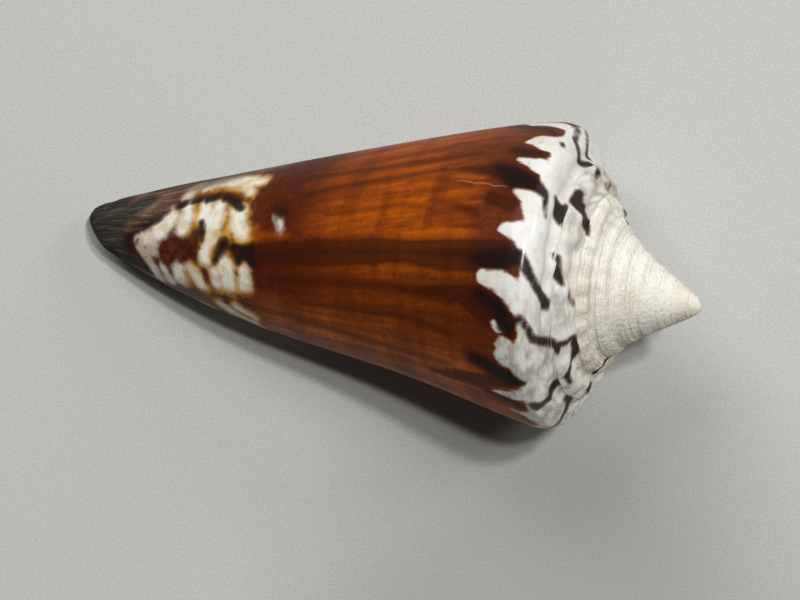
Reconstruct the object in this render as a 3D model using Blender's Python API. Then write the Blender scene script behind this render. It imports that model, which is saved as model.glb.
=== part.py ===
# Cone shell, one piece, lying on its lip and the flank beside its opening
# The shell is a tube that coils round an axis and widens as it grows. No modifier makes a
# coiled sheet whose section grows with every turn, so its faces are lofted here by rule.
# Lengths are in millimetres until the mesh is made, and angles are in radians.
import math

import bmesh
import bpy
import numpy as np

TURN = 2 * math.pi
MM = 0.001

# Driving sizes of the whole shell
SHELL_LENGTH = 70.06
LIP_RIM_RADIUS = 17.52
WHORL_GROWTH = 1.298
WHORLS = 10

# Spire: steep cone in the middle, low ramps outside it
SPIRE_STEEPNESS = 1.60
RAMP_STEEPNESS = 0.552
SPIRE_FOOT_RADIUS = 5.62
SPIRE_FOOT_BLEND = 0.70
RAMP_SAG = 0.030
TIP_DEPTH = 0.95
TIP_LEAN = 0.385
TIP_LEAN_FADE = 9.24
SPIRE_BEND = 0.29
SPIRE_BEND_DEPTH = 9.2
SPIRE_BEND_REACH = 3.5

# Shoulder, as shares of the rim's radius
SHOULDER_ROUND = 0.150
INNER_ROUND_SHARE = 0.75

# Side of the body, from the shoulder to the narrow end
SIDE_BULGE = 0.268
LOW_FLANK_SWELL = 0.71
LOW_FLANK_FADE_TURNS = (0.7, 1.0)
SHOULDER_SWELL = 0.60
SHOULDER_SWELL_AT = 0.13
SHOULDER_SWELL_FADE_TURNS = (0.9, 1.3)
END_RADIUS = 2.52
COLUMELLA_RADIUS = 1.0
END_SLANT = 4.24
END_SLANT_TURNS = (0.20, 0.85)
PILLAR_TURNS = (0.60, 1.00)
END_ROUND_LENGTH = 1.6
END_ROUND_INSET = 0.6
END_PEAK = 0.2

# Wall and hollow
LIP_EDGE_WALL = 0.7
DEEP_WALL = 1.7
END_WALL = 0.75
END_WALL_FROM = 0.75
LIP_RAMP_WALL = 0.9
DEEP_RAMP_WALL = 1.4
WALL_GROWTH_ANGLE = math.radians(70)
HOLLOW_ANGLE = math.radians(210)
LIP_EDGE_BULGE = 0.25
LIP_PROBE = 0.02
END_RIM_BULGE = 0.2

# Lip: angle round the axis from straight up, and how far its edge lags at each height
LIP_ANGLE = math.radians(221)
RAMP_NOTCH = math.radians(10)
SIDE_LAGS = ((14, 0.02, 0.75), (6, 0.70, 0.93))
END_LAG = 8
END_LAG_FROM = 0.9
END_LAG_POWER = 2.5
LATERAL_TURNS = 49 / 360

# Resting pose, which lays the lip's edge and the flank on the ground. Its height puts the lowest
# 0.12 mm below the ground, and that much is worn flat, so the shell doesn't roll on its round flank
REST_PITCH = math.radians(12.942)
REST_ROLL = math.radians(-0.299)
REST_SHIFT = (34.7838, -1.0527, 17.1113)

# Grid of the loft
COLUMNS = 48
RAMP_ROWS = 3
ARC_STOPS = (0.31, 0.62, 0.81, 1.0)
SUTURE_STOP = 1
SUTURE_SHARE = ARC_STOPS[SUTURE_STOP]
INNER_WHORLS = 9
SIDE_ROWS = 14
ROW_CROWDING = 0.10
EDGE_ROWS = 2
TIP_RINGS = ((0.72, 0.13), (0.40, 0.12))
END_RINGS = ((0.55, -0.15),)
SHARP_ANGLE = math.radians(50)
SEAM_GAP = 1e-6


def ease(x, start, stop):
    """Smooth step from 0 at start to 1 at stop."""
    u = np.clip((x - start) / (stop - start), 0, 1)
    return u * u * (3 - 2 * u)


def rim_radius(n):
    """Radius of the shoulder n whorls back from the lip: a geometric shrink."""
    return LIP_RIM_RADIUS * WHORL_GROWTH ** (-n)


def rim_depth(radius):
    """Distance below the tip of a shoulder of this radius: a steep line that bends into a low one."""
    foot = SPIRE_FOOT_RADIUS / SPIRE_FOOT_BLEND
    bend = np.logaddexp(0, radius / SPIRE_FOOT_BLEND - foot) - np.logaddexp(0, -foot)
    change = (RAMP_STEEPNESS - SPIRE_STEEPNESS) * SPIRE_FOOT_BLEND
    return SPIRE_STEEPNESS * radius + change * bend


def end_depth(n):
    """Distance below the tip of the narrow end, which slants back as the whorl goes round."""
    return SHELL_LENGTH - END_SLANT * ease(n, *END_SLANT_TURNS)


def end_radius(n):
    """Radius at the narrow end, shrinking to the pillar in the middle after most of a turn."""
    open_share = 1 - ease(n, *PILLAR_TURNS)
    return COLUMELLA_RADIUS + (END_RADIUS - COLUMELLA_RADIUS) * open_share


def side_point(n, v):
    """Radius and depth on the side at fraction v from shoulder to end: a line with slight bulges."""
    rim = rim_radius(n)
    top = rim_depth(rim)
    length = end_depth(n) - top
    end = end_radius(n)
    radius = end + (rim - end) * (1 - v) * (1 + SIDE_BULGE * v)
    low_side = 0.5 - 0.5 * np.cos(TURN * (n - LATERAL_TURNS))
    low_side = low_side * (1 - ease(n, *LOW_FLANK_FADE_TURNS))
    radius = radius - LOW_FLANK_SWELL * np.sin(TURN * v) * low_side
    swell = v / SHOULDER_SWELL_AT * np.exp(1 - v / SHOULDER_SWELL_AT)
    fade = (rim / LIP_RIM_RADIUS) ** 2 * (1 - ease(n, *SHOULDER_SWELL_FADE_TURNS))
    radius = radius + SHOULDER_SWELL * swell * fade
    past = np.clip(1 - (1 - v) * length / END_ROUND_LENGTH, 0, 1)
    inset = END_ROUND_INSET * end / END_RADIUS
    radius = radius - inset * (1 - np.sqrt(1 - np.minimum(past * past, 0.999)))
    return radius, top + length * v


def arc_corners(n, start, side_wall=0.0, ramp_wall=0.0):
    """Control points of the rounded shoulder, between the ramp, which comes from start, and the side."""
    rim = rim_radius(n)
    top = rim_depth(rim)
    reach = SHOULDER_ROUND * rim * np.where(side_wall > 0, INNER_ROUND_SHARE, 1.0)
    corner = (rim - side_wall, top + ramp_wall)
    toward = (start[0] - corner[0], start[1] - corner[1])
    share = reach / np.hypot(*toward)
    first = (corner[0] + toward[0] * share, corner[1] + toward[1] * share)
    down = (reach + ramp_wall) / (end_depth(n) - top)
    low_radius, low_depth = side_point(n, down)
    return first, corner, (low_radius - side_wall, low_depth), down


def arc_point(n, u, start, side_wall=0.0, ramp_wall=0.0):
    """A point of the rounded shoulder: a quadratic curve through its control points."""
    first, corner, last, _ = arc_corners(n, start, side_wall, ramp_wall)
    weights = ((1 - u) ** 2, 2 * u * (1 - u), u * u)
    radius = weights[0] * first[0] + weights[1] * corner[0] + weights[2] * last[0]
    return radius, weights[0] * first[1] + weights[1] * corner[1] + weights[2] * last[1]


def suture_point(n, stop):
    """Where a ramp begins, on the rounded shoulder of the whorl before; worked out from far inside."""
    radius = rim_radius(n + INNER_WHORLS + 1)
    point = (radius, rim_depth(radius))
    for older in range(INNER_WHORLS, 1, -1):
        point = arc_point(n + older, SUTURE_SHARE, point)
    return arc_point(n + 1, stop, point)


def ramp_point(n, u, start, side_wall=0.0, ramp_wall=0.0):
    """A point of the ramp, a slightly sagging line from the suture to the shoulder."""
    first, _, _, _ = arc_corners(n, start, side_wall, ramp_wall)
    sag = RAMP_SAG * rim_radius(n) * 4 * u * (1 - u)
    return start[0] + (first[0] - start[0]) * u, start[1] + (first[1] - start[1]) * u + sag


def flank_point(n, s, start, side_wall=0.0, ramp_wall=0.0):
    """A point of the side below the shoulder, s from 0 at the rounding to 1 at the narrow end."""
    _, _, _, down = arc_corners(n, start, side_wall, ramp_wall)
    v = down + (1 - down) * s
    radius, depth = side_point(n, v)
    wall = side_wall + (np.minimum(side_wall, END_WALL) - side_wall) * ease(v, END_WALL_FROM, 1.0)
    return radius - wall, depth


def growth_lag(v):
    """Angle by which the lip's edge at fraction v of the side lags behind the shoulder."""
    lag = sum(degrees * ease(v, start, stop) for degrees, start, stop in SIDE_LAGS)
    near_end = np.clip((v - END_LAG_FROM) / (1 - END_LAG_FROM), 0, 1)
    return np.radians(lag + END_LAG * near_end**END_LAG_POWER)


def row_values():
    """Where each row of the loft lies: its share along the ramp, the arc or the side."""
    u = np.linspace(0, 1, SIDE_ROWS + 1)[1:]
    flank = u - ROW_CROWDING * np.sin(TURN * u) / TURN
    return np.linspace(0, 1, RAMP_ROWS + 1), np.array(ARC_STOPS), flank


def row_places():
    """For every row, the rule that places it and its share along the ramp, the arc or the side."""
    ramp, arc, flank = row_values()
    rows = [(ramp_point, share) for share in ramp]
    rows += [(arc_point, share) for share in arc]
    return rows + [(flank_point, share) for share in flank]


def row_lags():
    """Lag of every row: a small notch on the ramp, none on the shoulder, more down the side."""
    ramp, arc, flank = row_values()
    notch = RAMP_NOTCH * np.sin(math.pi * ramp) * (ramp < 1)
    return np.concatenate([notch, np.zeros(len(arc)), growth_lag(flank)])


def coil(radius, depth, angle):
    """Radius, depth and angle round the axis to a point; the spire leans and bends a little."""
    lean = TIP_LEAN * np.exp(-depth / TIP_LEAN_FADE)
    bend = SPIRE_BEND * np.exp(-(((depth - SPIRE_BEND_DEPTH) / SPIRE_BEND_REACH) ** 2))
    across = -radius * np.sin(angle) - lean + bend
    return np.stack([-depth, across, radius * np.cos(angle)], -1)


def sheet(turned, side_wall=0.0, ramp_wall=0.0):
    """The coiled sheet: one column for each angle grown back from the lip, and all rows."""
    angle = turned[:, None] + row_lags()[None, :]
    stop = np.where(np.all(side_wall > 0), 1.0, SUTURE_SHARE)
    columns = []
    for j, (place, share) in enumerate(row_places()):
        n = angle[:, j : j + 1] / TURN
        start = suture_point(n, stop)
        columns.append(place(n, share, start, side_wall, ramp_wall))
    radius = np.concatenate([column[0] for column in columns], 1)
    depth = np.concatenate([column[1] for column in columns], 1)
    return coil(radius, depth, LIP_ANGLE + angle)


def walls_at(turned):
    """Thickness of the side and of the ramp, thin at the lip's edge and thicker farther in."""
    grown = ease(turned, 0, WALL_GROWTH_ANGLE)[:, None]
    side_wall = LIP_EDGE_WALL + (DEEP_WALL - LIP_EDGE_WALL) * grown
    return side_wall, LIP_RAMP_WALL + (DEEP_RAMP_WALL - LIP_RAMP_WALL) * grown


class Loft:
    """Collects grids of points and the faces between them."""

    def __init__(self):
        self.points = []
        self.faces = []
        self.count = 0

    def add(self, grid):
        flat = grid.reshape(-1, 3)
        first = self.count
        self.points.append(flat)
        self.count += len(flat)
        return first + np.arange(len(flat)).reshape(grid.shape[:-1])

    def skin(self, index, flip=False):
        quads = [index[:-1, :-1], index[:-1, 1:], index[1:, 1:], index[1:, :-1]]
        quads = np.stack(quads, -1).reshape(-1, 4)
        self.faces += (quads[:, ::-1] if flip else quads).tolist()

    def close(self, loop, centre, rings):
        """Closes a loop of points with shrinking rings and a fan round its centre."""
        rim = np.concatenate(self.points)[loop]
        last = np.array(loop)
        for share, lift in rings:
            ring = centre + (rim - centre) * share + np.array([lift, 0, 0])
            index = self.add(ring[:, None])[:, 0]
            pair = np.stack([last, index])
            self.skin(np.concatenate([pair, pair[:, :1]], 1), flip=True)
            last = index
        middle = self.add(centre[None, None])[0, 0]
        around = np.roll(last, -1)
        self.faces += [[int(middle), int(b), int(a)] for a, b in zip(last, around)]


def lip_edge(outer, inner, older):
    """The lip's edge: rows across the wall's thickness, bulging the way the shell grows."""
    ahead = sheet(np.array([-LIP_PROBE]))[0] - sheet(np.array([0.0]))[0]
    ahead = ahead / np.linalg.norm(ahead, axis=1)[:, None]
    share = np.linspace(0, 1, EDGE_ROWS + 1)[:, None, None]
    edge = outer * (1 - share) + inner * share + ahead * np.sin(math.pi * share) * LIP_EDGE_BULGE
    edge[:, 0] = older
    return edge


def end_rim(outer, inner, edge):
    """The wall's thickness at the narrow end, slightly rounded."""
    share = np.linspace(0, 1, EDGE_ROWS + 1)[None, :, None]
    rim = outer[:, None] * (1 - share) + inner[:, None] * share
    rim[:, :, 0] -= np.sin(math.pi * share[:, :, 0]) * END_RIM_BULGE
    rim[0] = edge
    return rim


def shell_loft():
    """All the faces of the closed shell: outside, spire, hollow, lip, narrow end and tip."""
    loft = Loft()
    suture = RAMP_ROWS + 1 + SUTURE_STOP
    ceiling = RAMP_ROWS + len(ARC_STOPS)
    step = TURN / COLUMNS
    deep = round(HOLLOW_ANGLE / step)
    back = np.arange(deep + 1) * step
    outside = sheet(np.arange(COLUMNS + 1) * step)
    spire = sheet(TURN + np.arange(COLUMNS * (WHORLS - 1) + 1) * step)[:, : suture + 1]
    inner_wall = sheet(TURN + back)[:, ceiling:]
    outer_wall = sheet(back, *walls_at(back))
    outer_wall[:, 0] = inner_wall[:, 0]
    edge = lip_edge(outside[0], outer_wall[0], outside[-1, suture : ceiling + 1])
    rim = end_rim(outside[: deep + 1, -1], outer_wall[:, -1], edge[:, -1])

    outside_at = loft.add(outside)
    spire_at = loft.add(spire)
    inner_at = loft.add(inner_wall)
    outer_at = loft.add(outer_wall)
    edge_at = loft.add(edge)
    rim_at = loft.add(rim)
    for index in (outside_at, spire_at, inner_at, edge_at.T, rim_at):
        loft.skin(index)
    loft.skin(outer_at, flip=True)

    # Blind end of the hollow
    blind = outer_at[deep].tolist()
    wall = inner_at[deep].tolist()
    loft.faces += [[blind[j + 1], blind[j], blind[0]] for j in range(1, ceiling)]
    for a, b, c, d in zip(blind[ceiling:], blind[ceiling + 1 :], wall[1:], wall):
        loft.faces.append([d, c, b, a])

    # Narrow end, solid round the pillar
    loop = outside_at[deep:, -1].tolist() + inner_at[1:, -1].tolist()
    loop += [blind[-1]] + rim_at[deep, 1:EDGE_ROWS][::-1].tolist()
    centre = np.array([-float(end_depth(1.0)) - END_PEAK, 0.0, 0.0])
    loft.close(loop, centre, END_RINGS)

    # Tip of the spire
    loop = spire_at[-1 - COLUMNS :, 0].tolist() + spire_at[-1, 1:suture].tolist()
    loft.close(loop[::-1], np.array([-TIP_DEPTH, -TIP_LEAN, 0.0]), TIP_RINGS)
    return np.concatenate(loft.points), loft.faces


def laid_down(points):
    """Turns the shell from its own axis to the way it lies, with its tip raised toward +X."""
    x, y, z = points.T
    turned_y = y * math.cos(REST_ROLL) - z * math.sin(REST_ROLL)
    turned_z = y * math.sin(REST_ROLL) + z * math.cos(REST_ROLL)
    along = x * math.cos(REST_PITCH) - turned_z * math.sin(REST_PITCH)
    up = x * math.sin(REST_PITCH) + turned_z * math.cos(REST_PITCH)
    lying = np.stack([along, turned_y, up], -1) + np.array(REST_SHIFT)
    lying[:, 2] = np.maximum(lying[:, 2], 0.0)
    return lying


def shell_material():
    """Glossy chestnut shell."""
    material = bpy.data.materials.new("shell")
    material.use_nodes = True
    surface = material.node_tree.nodes["Principled BSDF"]
    surface.inputs["Base Color"].default_value = (0.30, 0.11, 0.03, 1.0)
    surface.inputs["Roughness"].default_value = 0.35
    surface.inputs["Metallic"].default_value = 0.0
    return material


def make_shell(collection):
    """Makes the mesh, joins the seams between its grids and shades it smooth."""
    points, faces = shell_loft()
    mesh = bpy.data.meshes.new("shell")
    mesh.from_pydata((laid_down(points) * MM).tolist(), [], faces)
    work = bmesh.new()
    work.from_mesh(mesh)
    bmesh.ops.remove_doubles(work, verts=work.verts, dist=SEAM_GAP)
    bmesh.ops.recalc_face_normals(work, faces=work.faces)
    work.to_mesh(mesh)
    work.free()
    mesh.shade_smooth()
    mesh.set_sharp_from_angle(angle=SHARP_ANGLE)
    mesh.materials.append(shell_material())
    collection.objects.link(bpy.data.objects.new("shell", mesh))
    return mesh


def main():
    for old in list(bpy.data.objects):
        bpy.data.objects.remove(old)
    collection = bpy.data.collections.new("cone_shell")
    bpy.context.scene.collection.children.link(collection)
    mesh = make_shell(collection)
    spots = np.array([vertex.co for vertex in mesh.vertices]) / MM
    low = spots.min(axis=0)
    high = spots.max(axis=0)
    print("box in mm from", low.round(4), "to", high.round(4))
    print("shift still needed", (-(low + high) / 2)[:2].round(4), round(-float(low[2]), 4))


main()
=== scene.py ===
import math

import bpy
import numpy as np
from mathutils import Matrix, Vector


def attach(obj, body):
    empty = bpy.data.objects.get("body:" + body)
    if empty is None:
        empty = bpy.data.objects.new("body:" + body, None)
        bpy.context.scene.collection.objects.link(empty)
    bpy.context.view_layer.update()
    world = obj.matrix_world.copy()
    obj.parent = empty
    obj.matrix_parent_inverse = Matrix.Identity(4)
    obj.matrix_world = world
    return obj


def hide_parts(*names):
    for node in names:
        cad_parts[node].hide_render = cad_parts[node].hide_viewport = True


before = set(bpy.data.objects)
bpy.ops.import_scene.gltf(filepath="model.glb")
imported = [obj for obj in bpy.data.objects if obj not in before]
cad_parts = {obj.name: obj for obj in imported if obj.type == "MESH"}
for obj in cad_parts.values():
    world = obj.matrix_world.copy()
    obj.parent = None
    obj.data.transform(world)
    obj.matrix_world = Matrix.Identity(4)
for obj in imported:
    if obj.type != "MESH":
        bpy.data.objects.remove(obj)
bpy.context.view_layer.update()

# %% [markdown]
# # A cone shell, lying on the lip of its opening
# A cone shell is one coiled sheet of shell. The animal adds to the sheet's edge, the lip, so the
# shell is a tube that winds round an axis and widens. The CAD model gives its size and its rest.
# Here the same growth rule makes a much finer skin, and the colours are laid on that skin.

MM = 0.001
TURN = 2 * math.pi

# %% [markdown]
# ## The growth rule
# Every whorl is the one before it made larger by the same ratio, so the shoulder's radius is a
# power of that ratio. The spire is steep in the middle and low outside, and the side runs from the
# shoulder to the narrow end with a slight bulge. All lengths are in millimetres.

# %% Driving sizes
SHELL_LENGTH = 70.06
LIP_RIM_RADIUS = 17.52
WHORL_GROWTH = 1.298
WHORLS = 10

SPIRE_STEEPNESS = 1.60
RAMP_STEEPNESS = 0.552
SPIRE_FOOT_RADIUS = 5.62
SPIRE_FOOT_BLEND = 0.70
RAMP_SAG = 0.030
TIP_DEPTH = 0.95
TIP_LEAN = 0.385
TIP_LEAN_FADE = 9.24
SPIRE_BEND = 0.29
SPIRE_BEND_DEPTH = 9.2
SPIRE_BEND_REACH = 3.5

SHOULDER_ROUND = 0.150
INNER_ROUND_SHARE = 0.75
SIDE_BULGE = 0.268
LOW_FLANK_SWELL = 0.71
LOW_FLANK_FADE_TURNS = (0.7, 1.0)
SHOULDER_SWELL = 0.60
SHOULDER_SWELL_AT = 0.13
SHOULDER_SWELL_FADE_TURNS = (0.9, 1.3)
END_RADIUS = 2.52
COLUMELLA_RADIUS = 1.0
END_SLANT = 4.24
END_SLANT_TURNS = (0.20, 0.85)
PILLAR_TURNS = (0.60, 1.00)
END_ROUND_LENGTH = 1.6
END_ROUND_INSET = 0.6
END_ROUND_LIMIT = 0.999
END_PEAK = 0.2
LATERAL_TURNS = 49 / 360


# %% Rules for one section of the whorl
NO_WALLS = (0.0, 0.0)


def unit(vectors):
    """Vectors divided by their lengths."""
    return vectors / np.linalg.norm(vectors, axis=-1, keepdims=True)


def rotated(a, b, angle):
    """Two coordinates, or two directions, rotated: a cos minus b sin, and a sin plus b cos."""
    return a * math.cos(angle) - b * math.sin(angle), a * math.sin(angle) + b * math.cos(angle)


def ease(x, start, stop):
    """Smooth step from 0 at start to 1 at stop: 3u^2 - 2u^3."""
    u = np.clip((x - start) / (stop - start), 0, 1)
    return u * u * (3 - 2 * u)


def rim_radius(n):
    """Radius of the shoulder n whorls back from the lip: the lip's radius over the ratio to the n."""
    return LIP_RIM_RADIUS * WHORL_GROWTH ** (-n)


def rim_depth(radius):
    """Depth below the tip of a shoulder of this radius: a steep line that bends into a low one."""
    foot = SPIRE_FOOT_RADIUS / SPIRE_FOOT_BLEND
    bend = np.logaddexp(0, radius / SPIRE_FOOT_BLEND - foot) - np.logaddexp(0, -foot)
    change = (RAMP_STEEPNESS - SPIRE_STEEPNESS) * SPIRE_FOOT_BLEND
    return SPIRE_STEEPNESS * radius + change * bend


def end_depth(n):
    """Depth of the narrow end, which slants back as the whorl goes round."""
    return SHELL_LENGTH - END_SLANT * ease(n, *END_SLANT_TURNS)


def end_radius(n):
    """Radius at the narrow end, shrinking to the pillar in the middle after most of a turn."""
    open_share = 1 - ease(n, *PILLAR_TURNS)
    return COLUMELLA_RADIUS + (END_RADIUS - COLUMELLA_RADIUS) * open_share


def side_point(n, v):
    """Radius and depth at fraction v from shoulder to narrow end: a line plus slight bulges."""
    rim = rim_radius(n)
    top = rim_depth(rim)
    length = end_depth(n) - top
    end = end_radius(n)
    radius = end + (rim - end) * (1 - v) * (1 + SIDE_BULGE * v)
    low_side = 0.5 - 0.5 * np.cos(TURN * (n - LATERAL_TURNS))
    low_side = low_side * (1 - ease(n, *LOW_FLANK_FADE_TURNS))
    radius = radius - LOW_FLANK_SWELL * np.sin(TURN * v) * low_side
    swell = v / SHOULDER_SWELL_AT * np.exp(1 - v / SHOULDER_SWELL_AT)
    fade = (rim / LIP_RIM_RADIUS) ** 2 * (1 - ease(n, *SHOULDER_SWELL_FADE_TURNS))
    radius = radius + SHOULDER_SWELL * swell * fade
    past = np.clip(1 - (1 - v) * length / END_ROUND_LENGTH, 0, 1)
    inset = END_ROUND_INSET * end / END_RADIUS
    radius = radius - inset * (1 - np.sqrt(1 - np.minimum(past * past, END_ROUND_LIMIT)))
    return radius, top + length * v


def arc_corners(n, start, walls=NO_WALLS):
    """Control points of the rounded shoulder between the ramp, which comes from start, and the side."""
    side_wall, ramp_wall = walls
    rim = rim_radius(n)
    top = rim_depth(rim)
    reach = SHOULDER_ROUND * rim * np.where(side_wall > 0, INNER_ROUND_SHARE, 1.0)
    corner = (rim - side_wall, top + ramp_wall)
    toward = (start[0] - corner[0], start[1] - corner[1])
    share = reach / np.hypot(*toward)
    first = (corner[0] + toward[0] * share, corner[1] + toward[1] * share)
    down = (reach + ramp_wall) / (end_depth(n) - top)
    low_radius, low_depth = side_point(n, down)
    return first, corner, (low_radius - side_wall, low_depth), down


def arc_point(n, u, start, walls=NO_WALLS):
    """A point of the rounded shoulder: a quadratic curve through its three control points."""
    first, corner, last, _ = arc_corners(n, start, walls)
    weights = ((1 - u) ** 2, 2 * u * (1 - u), u * u)
    radius = weights[0] * first[0] + weights[1] * corner[0] + weights[2] * last[0]
    return radius, weights[0] * first[1] + weights[1] * corner[1] + weights[2] * last[1]


# %% [markdown]
# Each ramp starts on the rounded shoulder of the whorl before it, at the seam that is called the
# suture. The place of one suture needs the one before it, so the rule starts far inside, where the
# whorls are tiny, and works outward. Then the ramp, the rounding and the side follow from it.

# %% Sutures, ramps and sides
SUTURE_SHARE = 0.62
INNER_WHORLS = 9


def suture_point(n, stop):
    """Where a ramp begins on the whorl before it, worked out from the innermost whorl outward."""
    radius = rim_radius(n + INNER_WHORLS + 1)
    point = (radius, rim_depth(radius))
    for older in range(INNER_WHORLS, 1, -1):
        point = arc_point(n + older, SUTURE_SHARE, point)
    return arc_point(n + 1, stop, point)


def ramp_point(n, u, start, walls):
    """A point of the ramp: a line from the suture to the shoulder, sagging by a parabola."""
    first = arc_corners(n, start, walls)[0]
    sag = RAMP_SAG * rim_radius(n) * 4 * u * (1 - u)
    return start[0] + (first[0] - start[0]) * u, start[1] + (first[1] - start[1]) * u + sag


END_WALL = 0.75
END_WALL_FROM = 0.75


def flank_point(n, s, walls):
    """A point of the side, s from 0 at the rounding to 1 at the narrow end, moved in by the wall."""
    side_wall = walls[0]
    down = arc_corners(n, (0.0, 0.0), walls)[-1]
    v = down + (1 - down) * s
    radius, depth = side_point(n, v)
    wall = side_wall + (np.minimum(side_wall, END_WALL) - side_wall) * ease(v, END_WALL_FROM, 1.0)
    return radius - wall, depth


# %% [markdown]
# ## The grid
# Columns of the grid are growth lines, the places where the lip once was, and rows run round the
# shell. Rows are close together near the shoulder and toward the narrow end, and columns on the
# upper half, because the small markings lie there. Growth lines lag behind toward the narrow end.

# %% Rows and their lags
RAMP_ROWS = 9
ARC_ROWS_TO_SUTURE = 4
EDGE_ROWS = 5
SIDE_ROWS = 108
ROW_STOPS = (0.0, 0.20, 0.39, 0.94, 1.0)
SIDE_STOPS = (0.0, 0.13, 0.55, 0.95, 1.0)
RAMP_NOTCH = math.radians(10)
SIDE_LAGS = ((14, 0.02, 0.75), (6, 0.70, 0.93))
END_LAG = 8
END_LAG_FROM = 0.9
END_LAG_POWER = 2.5

ramp_rows = np.linspace(0, 1, RAMP_ROWS + 1)
arc_to_suture = np.linspace(0, SUTURE_SHARE, ARC_ROWS_TO_SUTURE + 1)[1:]
arc_rows = np.concatenate([arc_to_suture, np.linspace(SUTURE_SHARE, 1, EDGE_ROWS + 1)[1:]])
flank_rows = np.interp(np.linspace(0, 1, SIDE_ROWS + 1)[1:], ROW_STOPS, SIDE_STOPS)
SUTURE_ROW = RAMP_ROWS + ARC_ROWS_TO_SUTURE
CEILING_ROW = RAMP_ROWS + len(arc_rows)


def growth_lag(v):
    """Angle by which a growth line lags at fraction v of the side: eased steps plus a power near the end."""
    lag = sum(degrees * ease(v, start, stop) for degrees, start, stop in SIDE_LAGS)
    near_end = np.clip((v - END_LAG_FROM) / (1 - END_LAG_FROM), 0, 1)
    return np.radians(lag + END_LAG * near_end**END_LAG_POWER)


notch = RAMP_NOTCH * np.sin(math.pi * ramp_rows) * (ramp_rows < 1)
row_lags = np.concatenate([notch, np.zeros(len(arc_rows)), growth_lag(flank_rows)])
print("rows", len(row_lags), "suture at row", SUTURE_ROW, "end of the rounding at row", CEILING_ROW)

# %% Columns, denser on the upper half
COLUMNS = 228
COLUMN_CROWDING = 0.40
CROWDED_AT = math.radians(135)


def grown_back(step):
    """Angle grown back from the lip at a column: the even angle less a sine, so the middle is crowded."""
    even_angle = np.asarray(step) * TURN / COLUMNS
    shift = np.sin(even_angle - CROWDED_AT) + math.sin(CROWDED_AT)
    return even_angle - COLUMN_CROWDING * shift


# %% [markdown]
# Two things soften the bare rule. The inner edge of the shoulder is rounded by averaging each row
# there with its neighbours, and the old whorls of the spire are worn nearly smooth, so their rows
# are drawn toward the straight line between two sutures.

# %% One coiled sheet as arrays
LIP_ANGLE = math.radians(221)
EDGE_ROUNDINGS = 4
ROUNDED_ROWS = (5, 12)
WORN_WHORLS = (1.9, 4.0)
WORN_SHARE = 0.28


def softened(rows, n):
    """Rows averaged one, two, one near the shoulder's inner edge, then drawn to the straight line."""
    first, last = ROUNDED_ROWS
    for _ in range(EDGE_ROUNDINGS):
        before = rows[:, first - 1 : last - 1]
        after = rows[:, first + 1 : last + 1]
        rows[:, first:last] = (before + 2 * rows[:, first:last] + after) / 4
    share = np.linspace(0, 1, SUTURE_ROW + 1)
    straight = rows[:, :1] * (1 - share) + rows[:, SUTURE_ROW : SUTURE_ROW + 1] * share
    worn = WORN_SHARE * ease(n[:, : SUTURE_ROW + 1], *WORN_WHORLS)
    rows[:, : SUTURE_ROW + 1] += worn * (straight - rows[:, : SUTURE_ROW + 1])
    return rows


def section(n, walls=NO_WALLS):
    """Radius and depth of every row, where n holds the whorls grown back at each column and row."""
    stop = 1.0 if np.all(walls[0] > 0) else SUTURE_SHARE
    arc_from = RAMP_ROWS + 1
    arc_to = CEILING_ROW + 1
    start = suture_point(n[:, :arc_to], stop)
    on_ramp = (start[0][:, :arc_from], start[1][:, :arc_from])
    on_arc = (start[0][:, arc_from:], start[1][:, arc_from:])
    parts = (
        ramp_point(n[:, :arc_from], ramp_rows, on_ramp, walls),
        arc_point(n[:, arc_from:arc_to], arc_rows, on_arc, walls),
        flank_point(n[:, arc_to:], flank_rows, walls),
    )
    radius = np.concatenate([part[0] for part in parts], 1)
    depth = np.concatenate([part[1] for part in parts], 1)
    return softened(radius, n), softened(depth, n)


def coil(radius, depth, angle):
    """Point at this radius, depth and angle round the axis; the spire leans and bends a little."""
    lean = TIP_LEAN * np.exp(-depth / TIP_LEAN_FADE)
    bend = SPIRE_BEND * np.exp(-(((depth - SPIRE_BEND_DEPTH) / SPIRE_BEND_REACH) ** 2))
    across = -radius * np.sin(angle) - lean + bend
    return np.stack([-depth, across, radius * np.cos(angle)], -1)


def path_along(radius, depth):
    """Path from the suture to every row: the steps between the rows, added up."""
    step = np.hypot(np.diff(radius, axis=1), np.diff(depth, axis=1))
    return np.concatenate([np.zeros((len(step), 1)), np.cumsum(step, 1)], 1)


def sheet(turned, walls=NO_WALLS):
    """The coiled sheet: points, and for each its growth time, its path from the suture and its whorl."""
    angle = turned[:, None] + row_lags[None, :]
    radius, depth = section(angle / TURN, walls)
    time = np.repeat(turned[:, None] / TURN, len(row_lags), 1)
    return {
        "points": coil(radius, depth, LIP_ANGLE + angle),
        "time": time,
        "path": path_along(radius, depth),
        "whorl": angle / TURN,
        "inside": np.zeros_like(time),
    }


# %% [markdown]
# ## Wall, lip and hollow
# The opening is a long slit, and the tube behind it is hollow for a little over half a turn. So the
# skin goes over the lip's edge and comes back as an inner sheet, which is the same rule with a wall
# thickness taken off. The thickness is smallest at the lip's edge, as on a real shell.

# %% Thickness of the wall
LIP_EDGE_WALL = 0.7
DEEP_WALL = 1.7
LIP_RAMP_WALL = 0.9
DEEP_RAMP_WALL = 1.4
WALL_GROWTH_ANGLE = math.radians(70)
HOLLOW_ANGLE = math.radians(210)
LIP_EDGE_BULGE = 0.25
LIP_PROBE = 0.02
END_RIM_BULGE = 0.2


def walls_at(turned):
    """Thickness of the side and of the ramp, eased from the lip's edge to their full value."""
    grown = ease(turned, 0, WALL_GROWTH_ANGLE)[:, None]
    side_wall = LIP_EDGE_WALL + (DEEP_WALL - LIP_EDGE_WALL) * grown
    return side_wall, LIP_RAMP_WALL + (DEEP_RAMP_WALL - LIP_RAMP_WALL) * grown


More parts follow.
